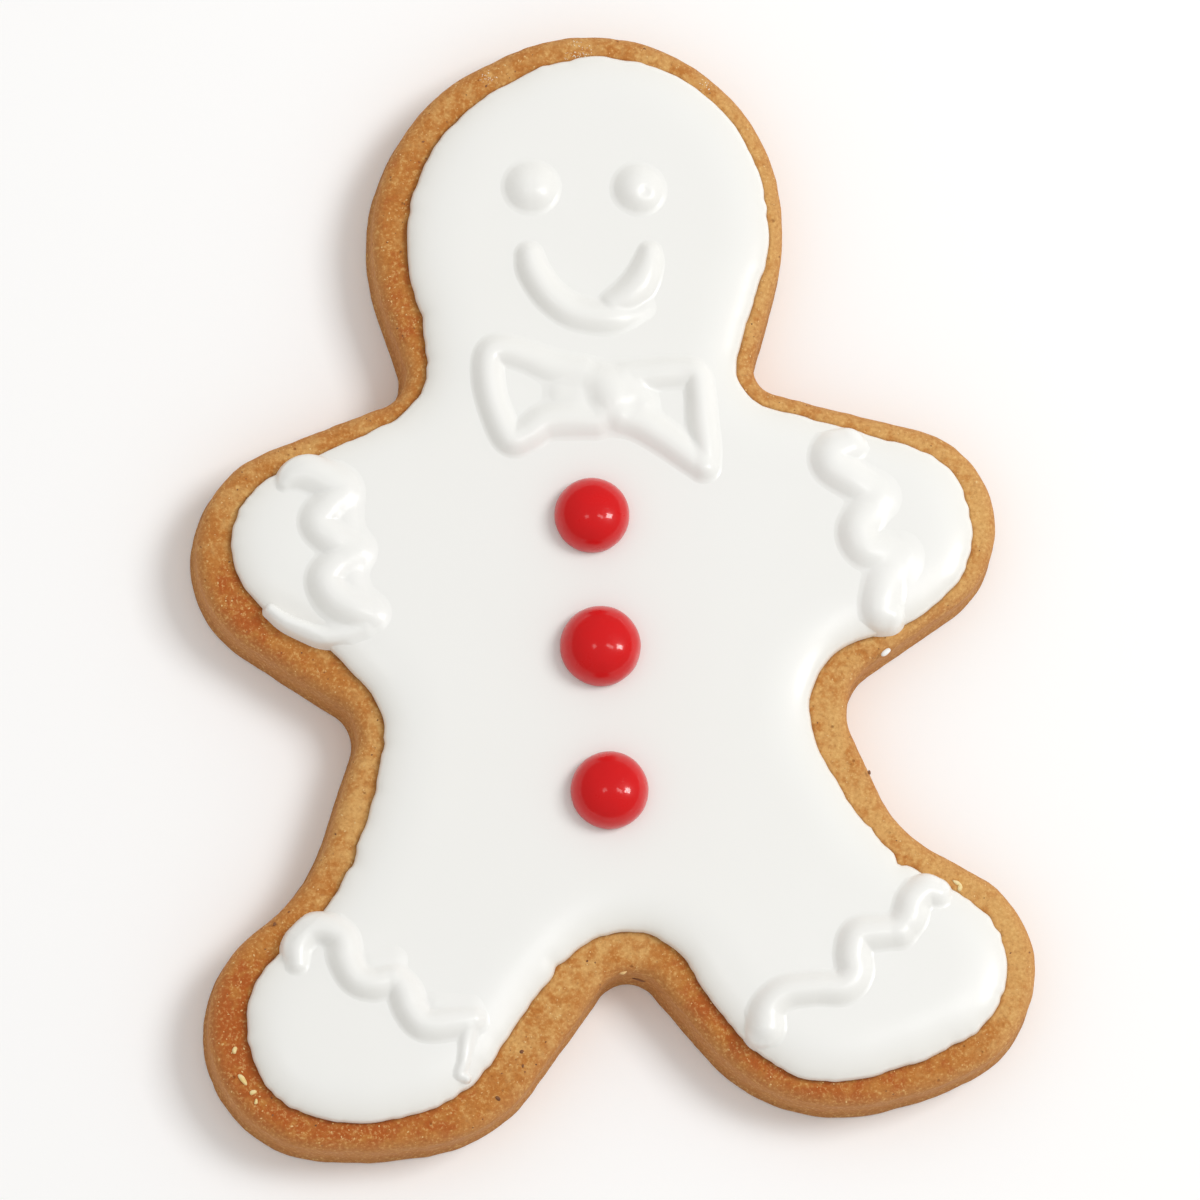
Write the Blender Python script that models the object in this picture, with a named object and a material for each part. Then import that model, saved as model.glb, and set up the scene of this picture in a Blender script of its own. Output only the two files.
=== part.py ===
"""Iced gingerbread man cookie: a cut biscuit, a flood of white icing, piped icing and sugar drops.

It lies flat on its underside with the decorated side up. +Y points to the head, +X to the
figure's side that is on the right when seen from above, and the origin is on the table under
the middle of the biscuit. Sizes at the top are in millimetres and are turned into metres once.
"""
import math

import bmesh
import bpy
import numpy as np

MM = 0.001

# The biscuit
BISCUIT_THICKNESS = 6.4       # dough rolled to a quarter of an inch
FOOT_FLARE = 0.35             # the dough slumps this far outwards at the tray
FOOT_HEIGHT = 1.1             # height over which the slump fades out
FOOT_CHAMFER = 0.25
TOP_EDGE_ROUND = 0.6
OUTLINE_SPACING = 2.0         # distance between points along the outline

# The icing
JOINT_GAP = 0.3               # clearance kept between pieces that touch
ICING_THICKNESS = 1.9
ICING_SHOULDER = 4.8          # the icing is level from this far inside its edge
ICING_EDGE_POWER = 2.3        # how square the shoulder is
ICING_FOOT = 0.25             # height of the upright edge under the shoulder
ICING_UNDERCUT = 0.1
SHOULDER_RINGS = (0.0, 0.04, 0.16, 0.40, 1.0)      # parts of the shoulder's width
RIM_BLUR = 2.5                # length over which one rim width passes into the next

# Piped icing
PIPING_HEIGHT = 1.1
PIPING_FOOT = 0.05            # height of the upright edge under the rounded top
PIPING_STATIONS_PER_MM = 0.85
PIPING_SIDES = 7              # points across the rounded top of a piped line
ROUTE_POINTS_PER_MM = 4.0     # how finely the nozzle's route is worked out
SPLINE_STEPS = 24             # points on the curve between two of the route's given points
BEND_LIMIT = 0.8              # part of a bend's radius that the line may reach towards its middle
END_MARKS = (0.03, 0.25, 0.65)    # sections in a line's round end, in half widths
EYE_DIAMETER = 4.9
KNOT_DIAMETER = 6.6
KNOT_HEIGHT = 1.5

# Sugar drops
DROP_HEIGHT_RATIO = 0.88      # height over diameter
DROP_CUT = 0.46               # part of the height that sits in the icing and is left out
DOME_END = 84                 # degrees up a dome at which its flat top starts

BISCUIT_TOP = BISCUIT_THICKNESS
ICING_BOTTOM = BISCUIT_TOP + JOINT_GAP
ICING_TOP = ICING_BOTTOM + ICING_THICKNESS
TOPPING_BOTTOM = ICING_TOP + JOINT_GAP

# The cutter's outline is a band drawn round these discs, anticlockwise. A bulge of 1 is a
# rounded end, and -1 is a hollow corner. The last two numbers are the width of the bare rim
# between biscuit edge and icing: on the disc, and half way along the straight that follows it.
OUTLINE = (
    # name,          x,      y, radius, bulge, rim, rim after
    ("cheek_right", 3.25, 33.5, 16.0, 1, 1.4, None),
    ("crown", 1.25, 35.0, 18.0, 1, 2.0, None),
    ("cheek_left", -0.75, 33.0, 19.0, 1, 3.4, 3.0),
    ("neck_left", -20.75, 21.0, 3.5, -1, 1.6, 2.2),
    ("hand_left", -27.25, 4.0, 10.5, 1, 3.2, 4.2),
    ("waist_left", -27.25, -13.5, 3.75, -1, 2.2, 3.2),
    ("knee_left", -42.75, -17.0, 17.0, -1, 3.0, None),
    ("heel_left", -27.25, -41.0, 11.5, 1, 3.6, None),
    ("sole_left", -24.25, -30.5, 22.25, 1, 2.4, None),
    ("toe_left", -20.25, -38.0, 14.5, 1, 3.8, 4.6),
    ("crotch", 0.75, -40.5, 3.5, -1, 3.8, 2.6),
    ("toe_right", 20.75, -34.5, 16.0, 1, 2.0, None),
    ("sole_right", 22.75, -30.5, 19.5, 1, 2.8, None),
    ("heel_right", 28.25, -38.0, 10.5, 1, 2.8, None),
    ("knee_right", 36.25, -16.5, 12.0, -1, 2.6, 3.4),
    ("waist_right", 28.25, -13.5, 5.75, -1, 3.8, 0.8),
    ("hand_right", 28.25, 4.5, 9.5, 1, 2.6, 1.8),
    ("neck_right", 18.25, 20.0, 2.5, -1, 1.8, 1.8),
)

# Eyes: centres of the two piped dots
EYES = {"eye_left": (-4.7, 37.8), "eye_right": (5.4, 37.3)}

# Piped lines: the points that the nozzle passed through, and the line's width
PIPED_LINES = {
    "mouth": (3.1, [(-5.1, 31.0), (-4.0, 28.2), (-1.4, 25.8), (2.4, 25.2), (4.9, 27.4), (6.2, 30.3)]),
    "cuff_left_arm": (3.0, [(-27.0, 11.4), (-23.9, 9.4), (-26.3, 6.8), (-23.0, 3.6),
                            (-26.0, 0.9), (-21.6, -2.9)]),
    "cuff_right_arm": (3.6, [(23.7, 11.9), (22.2, 9.8), (24.9, 7.2), (24.2, 3.6),
                             (27.6, 1.4), (26.2, -2.0), (26.4, -5.0)]),
    "cuff_left_foot": (2.9, [(-30.4, -34.6), (-28.4, -31.6), (-25.8, -33.3), (-24.2, -37.2),
                             (-20.4, -37.6), (-18.6, -41.4), (-14.9, -42.2), (-15.8, -46.4)]),
    "cuff_right_foot": (3.0, [(28.6, -30.8), (26.4, -33.6), (22.4, -34.8), (21.4, -39.0),
                              (14.6, -39.6), (12.9, -42.8)]),
}

# Bow tie: each loop is one piped line that starts and ends at the knot
BOW_WIDTH = 2.8
BOW_KNOT = (1.4, 17.4)
BOW_LOOPS = {
    "left": [(-0.8, 19.4), (-5.0, 21.2), (-9.2, 22.1), (-9.6, 17.8), (-8.2, 13.6), (-0.8, 16.0)],
    "right": [(3.4, 15.2), (6.6, 13.1), (10.3, 10.4), (10.2, 14.8), (9.8, 19.1), (3.4, 19.2)],
}

# Sugar drops down the front: centre and diameter
DROPS = {
    "button_top": (-0.7, 5.9, 7.1),
    "button_middle": (-0.6, -6.6, 7.6),
    "button_bottom": (-0.5, -20.3, 7.3),
}

# Linear colours
BISCUIT_COLOUR = (0.55, 0.27, 0.085)
ICING_COLOUR = (0.90, 0.89, 0.87)
DROP_COLOUR = (0.62, 0.012, 0.014)


def clear_scene():
    for obj in list(bpy.data.objects):
        bpy.data.objects.remove(obj, do_unlink=True)


def make_material(name, colour, roughness, coat=0.0):
    material = bpy.data.materials.new(name)
    material.use_nodes = True
    shader = material.node_tree.nodes["Principled BSDF"]
    shader.inputs["Base Color"].default_value = (*colour, 1.0)
    shader.inputs["Roughness"].default_value = roughness
    shader.inputs["Metallic"].default_value = 0.0
    shader.inputs["Coat Weight"].default_value = coat
    return material


def tangent_angles(discs):
    """Direction of the outward normal on the straight from each disc to the next one."""
    angles = []
    for disc, after in zip(discs, discs[1:] + discs[:1]):
        dx, dy = after[0] - disc[0], after[1] - disc[1]
        reach = (disc[3] * disc[2] - after[3] * after[2]) / math.hypot(dx, dy)
        angles.append(math.atan2(dy, dx) - math.pi / 2 + math.asin(reach))
    return angles


def band_round_discs(discs, spacing):
    """Points, outward normals and distances along the band, and each disc's two stations."""
    angles = tangent_angles(discs)
    points, normals, lengths, stations = [], [], [], []
    length = 0.0
    for index, (x, y, radius, bulge) in enumerate(discs):
        start, end = angles[index - 1], angles[index]
        turn = (end - start + math.pi) % (2 * math.pi) - math.pi
        arc = abs(turn) * radius
        steps = max(2, round(arc / spacing))
        for step in range(steps + 1):
            angle = start + turn * step / steps
            normal = np.array((math.cos(angle), math.sin(angle)))
            points.append(np.array((x, y)) + bulge * radius * normal)
            normals.append(normal)
            lengths.append(length + arc * step / steps)
        on_disc = length + arc / 2
        length += arc
        after = discs[(index + 1) % len(discs)]
        target = np.array(after[:2]) + after[3] * after[2] * normal
        straight = np.linalg.norm(target - points[-1])
        steps = int(straight / spacing)
        origin = points[-1]
        for step in range(1, steps):
            points.append(origin + (target - origin) * step / steps)
            normals.append(normal)
            lengths.append(length + straight * step / steps)
        stations.append((on_disc, length + straight / 2))
        length += straight
    return np.array(points), np.array(normals), np.array(lengths), stations, length


def cutter_outline():
    discs = [row[1:5] for row in OUTLINE]
    return band_round_discs(discs, OUTLINE_SPACING)


def rim_widths(lengths, stations, total):
    """Width of the bare rim at each point, blurred so that it has no corners."""
    marks, widths = [], []
    for (on_disc, on_straight), row in zip(stations, OUTLINE):
        marks.append(on_disc)
        widths.append(row[5])
        if row[6] is not None:
            marks.append(on_straight)
            widths.append(row[6])
    shifts = np.linspace(-RIM_BLUR, RIM_BLUR, 7)
    blurred = [np.interp(lengths + shift, marks, widths, period=total) for shift in shifts]
    return np.mean(blurred, axis=0)


def new_object(name, mesh, material):
    obj = bpy.data.objects.new(name, mesh)
    bpy.context.scene.collection.objects.link(obj)
    mesh.materials.append(material)
    return obj


def smooth_mesh(mesh, sharp_angle):
    mesh.shade_smooth()
    mesh.set_sharp_from_angle(angle=math.radians(sharp_angle))


def stack_of_rings(name, rings, material, sharp_angle=40):
    """Closed solid from rings of equal point count, lowest first, flat at both ends."""
    mesh = bpy.data.meshes.new(name)
    work = bmesh.new()
    layers = [[work.verts.new(np.array(point) * MM) for point in ring] for ring in rings]
    count = len(layers[0])
    for below, above in zip(layers, layers[1:]):
        for index in range(count):
            after = (index + 1) % count
            work.faces.new((below[index], below[after], above[after], above[index]))
    work.faces.new(reversed(layers[0]))
    work.faces.new(layers[-1])
    work.normal_update()
    bmesh.ops.triangulate(work, faces=[face for face in work.faces if len(face.verts) > 4])
    work.to_mesh(mesh)
    work.free()
    smooth_mesh(mesh, sharp_angle)
    return new_object(name, mesh, material)


def raised(points, height):
    return [(x, y, height) for x, y in points]


def make_biscuit(outline, normals, material):
    """Cut dough: a slightly slumped foot, an upright wall and a soft top edge."""
    wall_top = BISCUIT_TOP - TOP_EDGE_ROUND
    soft = TOP_EDGE_ROUND * (1 - math.cos(math.radians(45)))
    profile = (
        (FOOT_FLARE - FOOT_CHAMFER, 0.0),
        (FOOT_FLARE, FOOT_CHAMFER),
        (0.0, FOOT_HEIGHT),
        (0.0, wall_top),
        (-soft, BISCUIT_TOP - soft),
        (-TOP_EDGE_ROUND, BISCUIT_TOP),
    )
    rings = [raised(outline + normals * out, height) for out, height in profile]
    return stack_of_rings("biscuit", rings, material)


def shoulder_height(part):
    """Height of the icing's rounded shoulder, from 0 at its edge to 1 where it is level."""
    return (1 - (1 - part) ** ICING_EDGE_POWER) ** (1 / ICING_EDGE_POWER)


def make_icing(edge, normals, material):
    """Poured icing: upright at its very edge, then rounded over to a level top."""
    rings = [raised(edge - normals * ICING_UNDERCUT, ICING_BOTTOM)]
    for part in SHOULDER_RINGS:
        inset = edge - normals * ICING_SHOULDER * part
        rise = ICING_FOOT + (ICING_THICKNESS - ICING_FOOT) * shoulder_height(part)
        rings.append(raised(inset, ICING_BOTTOM + rise))
    return stack_of_rings("icing", rings, material)


def smooth_route(points, stations_per_mm):
    """Evenly spaced points on a Catmull-Rom curve through the given points."""
    knots = [2 * np.array(points[0]) - np.array(points[1])] + [np.array(p) for p in points]
    knots.append(2 * knots[-1] - knots[-2])
    fine = []
    for a, b, c, d in zip(knots, knots[1:], knots[2:], knots[3:]):
        for t in np.linspace(0, 1, SPLINE_STEPS, endpoint=False):
            fine.append(0.5 * (2 * b + (c - a) * t + (2 * a - 5 * b + 4 * c - d) * t ** 2
                               + (3 * b - 3 * c + d - a) * t ** 3))
    fine.append(knots[-2])
    fine = np.array(fine)
    run = np.concatenate(([0.0], np.cumsum(np.linalg.norm(np.diff(fine, axis=0), axis=1))))
    count = max(6, round(run[-1] * stations_per_mm))
    marks = np.linspace(0, run[-1], count)
    return np.stack([np.interp(marks, run, fine[:, axis]) for axis in (0, 1)], axis=1)


def end_rounding(lengths, total, half_width):
    """Share of the full width that is left at each distance along a line with round ends."""
    from_end = np.minimum(lengths, total - lengths)
    part = np.clip(from_end / half_width, 0.0, 1.0)
    return np.sqrt(np.clip(1 - (1 - part) ** 2, 0.0, 1.0))


def line_marks(total, half_width):
    """Distances along a line at which it gets a section, closer together at its round ends."""
    start = np.array(END_MARKS) * half_width
    middle = np.linspace(half_width, total - half_width,
                         max(3, round(total * PIPING_STATIONS_PER_MM)))
    return np.concatenate((start, middle, total - start[::-1]))


def make_piped_line(name, points, width, height, material):
    """Icing piped along a route: flat underneath, round on top, with round ends."""
    half_width = width / 2
    route = smooth_route(points, ROUTE_POINTS_PER_MM)
    run = np.concatenate(([0.0], np.cumsum(np.linalg.norm(np.diff(route, axis=0), axis=1))))
    marks = line_marks(run[-1], half_width)
    centres = np.stack([np.interp(marks, run, route[:, axis]) for axis in (0, 1)], axis=1)
    along = np.gradient(centres, marks, axis=0)
    along /= np.linalg.norm(along, axis=1)[:, None]
    left = np.stack((-along[:, 1], along[:, 0]), axis=1)
    bend = np.sum(np.gradient(along, marks, axis=0) * left, axis=1)     # turns left if positive
    share = end_rounding(marks, run[-1], half_width)
    arc = np.linspace(0, math.pi, PIPING_SIDES)
    rings = []
    for centre, side, turn, part in zip(centres, left, bend, share):
        ring = []
        for angle in arc:
            reach = math.cos(angle) * half_width * part
            if reach * turn > 0:
                reach = math.copysign(min(abs(reach), BEND_LIMIT / abs(turn)), reach)
            x, y = centre + side * reach
            lift = PIPING_FOOT + (height - PIPING_FOOT) * part * math.sin(angle)
            ring.append((x, y, TOPPING_BOTTOM + lift))
        ring.append((*ring[-1][:2], TOPPING_BOTTOM))
        ring.append((*ring[0][:2], TOPPING_BOTTOM))
        rings.append(ring)
    return stack_of_rings(name, rings, material, sharp_angle=60)


def make_dome(name, centre, diameter, height, cut, material, sides=20, levels=6):
    """Upper part of a spheroid whose lowest share, cut, is left out."""
    rings = []
    low = math.asin(2 * cut - 1) if cut < 0.5 else 0.0
    full_height = height / (1 - cut) if cut < 0.5 else 2 * height
    for angle in np.linspace(low, math.radians(DOME_END), levels):
        radius = diameter / 2 * math.cos(angle)
        level = TOPPING_BOTTOM + full_height / 2 * (math.sin(angle) - math.sin(low))
        turns = [2 * math.pi * side / sides for side in range(sides)]
        rings.append([(centre[0] + radius * math.cos(turn), centre[1] + radius * math.sin(turn), level)
                      for turn in turns])
    return stack_of_rings(name, rings, material, sharp_angle=60)


def join_solids(target, others):
    """Boolean union of the others into the target; they stay behind as hidden guides."""
    for other in others:
        other.hide_render = True
        other.display_type = "WIRE"
        union = target.modifiers.new("join " + other.name, "BOOLEAN")
        union.operation = "UNION"
        union.solver = "EXACT"
        union.object = other


def make_bow_tie(material):
    knot = make_dome("bow_tie", BOW_KNOT, KNOT_DIAMETER, KNOT_HEIGHT, 0.5, material, sides=16, levels=4)
    loops = [make_piped_line("bow_loop_" + side, points, BOW_WIDTH, PIPING_HEIGHT, material)
             for side, points in BOW_LOOPS.items()]
    join_solids(knot, loops)
    return knot


def make_toppings(icing_material, drop_material):
    for name, centre in EYES.items():
        make_dome(name, centre, EYE_DIAMETER, PIPING_HEIGHT, 0.5, icing_material, levels=5)
    for name, (width, points) in PIPED_LINES.items():
        make_piped_line(name, points, width, PIPING_HEIGHT, icing_material)
    make_bow_tie(icing_material)
    for name, (x, y, diameter) in DROPS.items():
        height = diameter * DROP_HEIGHT_RATIO * (1 - DROP_CUT)
        make_dome(name, (x, y), diameter, height, DROP_CUT, drop_material, levels=8)


def main():
    clear_scene()
    biscuit_material = make_material("biscuit", BISCUIT_COLOUR, 0.85)
    icing_material = make_material("icing", ICING_COLOUR, 0.35, coat=0.2)
    drop_material = make_material("sugar_drop", DROP_COLOUR, 0.12, coat=1.0)

    outline, normals, lengths, stations, total = cutter_outline()
    make_biscuit(outline, normals, biscuit_material)
    rim = rim_widths(lengths, stations, total)
    make_icing(outline - normals * rim[:, None], normals, icing_material)
    make_toppings(icing_material, drop_material)


main()
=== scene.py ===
import itertools
import math

import bpy
import numpy as np
from mathutils import Matrix, Vector
from mathutils.geometry import delaunay_2d_cdt


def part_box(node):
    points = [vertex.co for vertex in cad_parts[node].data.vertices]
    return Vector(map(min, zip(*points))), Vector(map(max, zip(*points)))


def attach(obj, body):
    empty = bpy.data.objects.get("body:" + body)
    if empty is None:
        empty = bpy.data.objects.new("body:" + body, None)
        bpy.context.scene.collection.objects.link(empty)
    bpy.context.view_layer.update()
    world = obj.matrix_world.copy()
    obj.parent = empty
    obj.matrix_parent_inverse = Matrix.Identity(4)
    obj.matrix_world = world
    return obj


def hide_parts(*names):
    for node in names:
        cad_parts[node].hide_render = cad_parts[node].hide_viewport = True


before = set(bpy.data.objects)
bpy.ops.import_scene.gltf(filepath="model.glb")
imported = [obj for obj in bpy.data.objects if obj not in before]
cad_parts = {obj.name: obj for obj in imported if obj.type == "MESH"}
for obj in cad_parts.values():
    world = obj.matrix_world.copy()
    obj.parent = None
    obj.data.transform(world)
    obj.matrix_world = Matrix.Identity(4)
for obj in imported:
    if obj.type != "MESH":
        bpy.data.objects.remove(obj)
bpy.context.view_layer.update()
print("frame loaded:", len(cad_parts), "nodes")

# Shapes are worked out in millimetres and turned into metres when a mesh is written
mm = 0.001
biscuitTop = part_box("biscuit")[1].z / mm
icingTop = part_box("icing")[1].z / mm

noiseCount = 4096             # a power of two
noiseTable = np.random.RandomState(41).uniform(-1, 1, noiseCount)
noisePrimes = (73856093, 19349663, 83492791)
seedStep = 17.31              # how far apart in the noise two seeds look
noiseStart = 211.7
chunk = 4000                  # points measured at one go, to save memory


def lumps(points, size, seed):
    # smooth noise from -1 to 1 whose lumps are about that many millimetres across
    scaled = np.asarray(points) / size + seedStep * seed + noiseStart
    cell = np.floor(scaled).astype(np.int64)
    part = scaled - cell
    part = part * part * (3 - 2 * part)
    total = np.zeros(len(scaled))
    for corner in itertools.product((0, 1), repeat=scaled.shape[1]):
        weight = np.ones(len(scaled))
        key = np.zeros(len(scaled), dtype=np.int64)
        for axis, step in enumerate(corner):
            weight *= part[:, axis] if step else 1 - part[:, axis]
            key ^= (cell[:, axis] + step) * noisePrimes[axis]
        total += weight * noiseTable[key & (noiseCount - 1)]
    return total


def layered(points, layers):
    # lumps of several sizes on top of each other; a layer is an amount, a size and a seed
    return sum(amount * lumps(points, size, seed) for amount, size, seed in layers)


def smoothMax(a, b, softness):
    return np.maximum(a, b) + np.maximum(softness - np.abs(a - b), 0) ** 2 / (4 * softness)


def bell(distance, width):
    return np.exp(-(distance / width) ** 2)


def spots(points, rows):
    # soft round spots added up; a row is x, y, reach and amount
    return sum(amount * bell(np.hypot(points[:, 0] - x, points[:, 1] - y), reach)
               for x, y, reach, amount in rows)


def nearest(points, targets):
    # index of the closest target and the distance to it
    index = np.empty(len(points), dtype=np.int64)
    distance = np.empty(len(points))
    for start in range(0, len(points), chunk):
        part = points[start:start + chunk]
        squares = ((part[:, None] - targets[None]) ** 2).sum(axis=2)
        index[start:start + chunk] = squares.argmin(axis=1)
        distance[start:start + chunk] = np.sqrt(squares.min(axis=1))
    return index, distance


def insideLoop(points, loop):
    inside = np.zeros(len(points), dtype=bool)
    x, y = points[:, 0], points[:, 1]
    for (ax, ay), (bx, by) in zip(loop, np.roll(loop, -1, axis=0)):
        if ay == by:
            continue
        crosses = (ay > y) != (by > y)
        inside ^= crosses & (x < (bx - ax) * (y - ay) / (by - ay) + ax)
    return inside


def smoothRoute(rows, spacing):
    # evenly spaced rows on a smooth curve through the given rows; the first two numbers are x, y
    rows = np.array(rows, dtype=float)
    knots = np.vstack((2 * rows[0] - rows[1], rows, 2 * rows[-1] - rows[-2]))
    t = np.linspace(0, 1, 24, endpoint=False)[:, None]
    fine = [0.5 * (2 * b + (c - a) * t + (2 * a - 5 * b + 4 * c - d) * t ** 2
                   + (3 * b - 3 * c + d - a) * t ** 3)
            for a, b, c, d in zip(knots, knots[1:], knots[2:], knots[3:])]
    fine = np.vstack(fine + [rows[-1:]])
    run = np.concatenate(([0], np.cumsum(np.linalg.norm(np.diff(fine[:, :2], axis=0), axis=1))))
    marks = np.linspace(0, run[-1], max(4, round(run[-1] / spacing)))
    return np.stack([np.interp(marks, run, column) for column in fine.T], axis=1)


def linkNew(name, data):
    made = bpy.data.objects.new(name, data)
    bpy.context.scene.collection.objects.link(made)
    return made


def handOver(piece, node=None):
    # the piece rides on the one body and, where a node is given, stands for that node
    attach(piece, "root")
    if node:
        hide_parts(node)


def newPiece(name, vertices, faces, material, attributes=None):
    mesh = bpy.data.meshes.new(name)
    mesh.from_pydata((np.asarray(vertices) * mm).tolist(), [], faces)
    mesh.validate()
    mesh.shade_smooth()
    mesh.materials.append(material)
    for key, values in (attributes or {}).items():
        layer = mesh.attributes.new(key, "FLOAT", "POINT")
        layer.data.foreach_set("value", np.asarray(values, dtype=np.float32))
    return linkNew(name, mesh)


def ringFaces(count, rings, first=0):
    # quads between rings that follow each other; the first ring is the lowest and outermost
    faces = []
    for ring in range(rings - 1):
        low = first + ring * count
        for index in range(count):
            after = (index + 1) % count
            faces.append((low + index, low + after, low + count + after, low + count + index))
    return faces


def fillLoop(loop, spacing):
    # inner points on an even triangular grid, and triangles over loop points followed by those
    low, high = loop.min(axis=0), loop.max(axis=0)
    rows = np.arange(low[1], high[1], spacing * 0.866)          # rows of even triangles
    grid = np.array([(x + spacing / 2 * (row % 2), y) for row, y in enumerate(rows)
                     for x in np.arange(low[0], high[0], spacing)])
    grid = grid[insideLoop(grid, loop)]
    grid = grid[nearest(grid, loop)[1] > spacing * 0.55]         # no slivers along the loop
    points = np.vstack((loop, grid))
    edges = [(index, (index + 1) % len(loop)) for index in range(len(loop))]
    result = delaunay_2d_cdt([Vector(point) for point in points], edges, [], 1, 1e-6)
    sources = [origin[0] for origin in result[3]]
    triangles = []
    for face in result[2]:
        a, b, c = (sources[corner] for corner in face)
        pa, pb, pc = points[a], points[b], points[c]
        area = (pb[0] - pa[0]) * (pc[1] - pa[1]) - (pb[1] - pa[1]) * (pc[0] - pa[0])
        triangles.append((a, b, c) if area > 0 else (a, c, b))
    return grid, triangles


def closedShell(rings, top, base):
    # the rings with the last one filled as the top and the first as the base; top and base are
    # the spacing of their inner points and a function that gives those points' heights
    count = len(rings[0])
    points, faces, added = np.vstack(rings), ringFaces(count, len(rings)), []
    for ring, (spacing, heightAt) in ((len(rings) - 1, top), (0, base)):
        grid, triangles = fillLoop(rings[ring][:, :2], spacing)
        first, shift = ring * count, len(points) - count
        for triangle in triangles:
            face = [first + i if i < count else shift + i for i in triangle]
            faces.append(tuple(face if ring else reversed(face)))
        points = np.vstack((points, np.column_stack((grid, heightAt(grid)))))
        added.append(len(grid))
    return points, faces, added


def setInputs(tree, node, inputs):
    # inputs are given by name or number; a value is either a socket to link or a plain value
    for key, value in inputs.items():
        if isinstance(value, bpy.types.NodeSocket):
            tree.links.new(value, node.inputs[key])
        else:
            node.inputs[key].default_value = value


def addNode(tree, kind, inputs=None, **settings):
    made = tree.nodes.new(kind)
    for key, value in settings.items():
        setattr(made, key, value)
    setInputs(tree, made, inputs or {})
    return made


def nodeGroup(name, kind, inputs, outputs):
    # an input is a name, a kind and, where it needs one, a value; an output is a name and a kind
    group = bpy.data.node_groups.new(name, kind)
    for label, socketKind, *value in inputs:
        socket = group.interface.new_socket(label, in_out="INPUT", socket_type="NodeSocket" + socketKind)
        if value:
            socket.default_value = value[0]
    for label, socketKind in outputs:
        group.interface.new_socket(label, in_out="OUTPUT", socket_type="NodeSocket" + socketKind)
    return group, addNode(group, "NodeGroupInput").outputs, addNode(group, "NodeGroupOutput")


def mathNode(tree, operation, a, b):
    return addNode(tree, "ShaderNodeMath", {0: a, 1: b}, operation=operation).outputs[0]


def remap(tree, value, fromLow, fromHigh, toLow=0.0, toHigh=1.0):
    made = addNode(tree, "ShaderNodeMapRange",
                   {"Value": value, "From Min": fromLow, "From Max": fromHigh,
                    "To Min": toLow, "To Max": toHigh}, interpolation_type="SMOOTHSTEP")
    return made.outputs["Result"]


def mixColour(tree, share, a, b):
    # a colour is either a socket or three numbers
    a, b = [value if isinstance(value, bpy.types.NodeSocket) else (*value, 1) for value in (a, b)]
    return addNode(tree, "ShaderNodeMix", {0: share, 6: a, 7: b}, data_type="RGBA").outputs[2]


def perMetre(size):
    # scale of a noise whose lumps are about that many millimetres across
    return 1 / (size * mm)


def noiseNode(tree, vector, scale, detail=2.0, roughness=0.5):
    return addNode(tree, "ShaderNodeTexNoise", {"Vector": vector, "Scale": scale, "Detail": detail,
                                                "Roughness": roughness}).outputs["Fac"]


def attributeNode(tree, name):
    return addNode(tree, "ShaderNodeAttribute", attribute_name=name).outputs["Fac"]


def bumpNode(tree, height, depth):
    return addNode(tree, "ShaderNodeBump", {"Height": height, "Distance": depth * mm,
                                            "Strength": 1.0}).outputs["Normal"]


def newMaterial(name, colour):
    material = bpy.data.materials.new(name)
    material.use_nodes = True
    material.diffuse_color = (*colour, 1)
    tree = material.node_tree
    place = addNode(tree, "ShaderNodeTexCoord").outputs["Object"]
    return material, tree, tree.nodes["Principled BSDF"], place


doughGrain = {"grainSize": 0.32, "lumpSize": 1.3, "grainShare": 0.45, "lumpShare": 0.55, "holeDepth": 0.5}
sugarRipple = {"rippleSize": 6.0, "fineSize": 0.5, "fineShare": 0.1}


def makeGrainGroup():
    # crumb of baked dough: fine grains, broader lumps and pin holes
    group, given, sink = nodeGroup("doughGrain", "ShaderNodeTree", [
        ("Vector", "Vector"), ("Grain Scale", "Float", perMetre(doughGrain["grainSize"])),
        ("Lump Scale", "Float", perMetre(doughGrain["lumpSize"]))],
        [("Grain", "Float"), ("Lumps", "Float"), ("Holes", "Float"), ("Height", "Float")])
    vector, lumpScale = given["Vector"], given["Lump Scale"]
    grain = noiseNode(group, vector, given["Grain Scale"], 3.0, 0.6)
    broad = noiseNode(group, vector, lumpScale, 2.0, 0.55)
    cells = addNode(group, "ShaderNodeTexVoronoi", {"Vector": vector, "Scale": lumpScale}).outputs["Distance"]
    holes = mathNode(group, "MULTIPLY", remap(group, cells, 0.14, 0.05), remap(group, broad, 0.5, 0.62))
    height = mathNode(group, "ADD", mathNode(group, "MULTIPLY", grain, doughGrain["grainShare"]),
                      mathNode(group, "MULTIPLY", broad, doughGrain["lumpShare"]))
    height = mathNode(group, "SUBTRACT", height, mathNode(group, "MULTIPLY", holes, doughGrain["holeDepth"]))
    setInputs(group, sink, {"Grain": grain, "Lumps": broad, "Holes": holes, "Height": height})
    return group


def makeRippleGroup():
    # sugar surface: slow ripples with a faint fine grain over them
    group, given, sink = nodeGroup("sugarRipple", "ShaderNodeTree", [
        ("Vector", "Vector"), ("Ripple Scale", "Float", perMetre(sugarRipple["rippleSize"])),
        ("Fine Scale", "Float", perMetre(sugarRipple["fineSize"])),
        ("Fine Share", "Float", sugarRipple["fineShare"])], [("Height", "Float"), ("Ripple", "Float")])
    vector = given["Vector"]
    slow = noiseNode(group, vector, given["Ripple Scale"], 1.0)
    fine = noiseNode(group, vector, given["Fine Scale"])
    height = mathNode(group, "ADD", slow, mathNode(group, "MULTIPLY", fine, given["Fine Share"]))
    setInputs(group, sink, {"Height": height, "Ripple": slow})
    return group


grainGroup = makeGrainGroup()
rippleGroup = makeRippleGroup()

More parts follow.
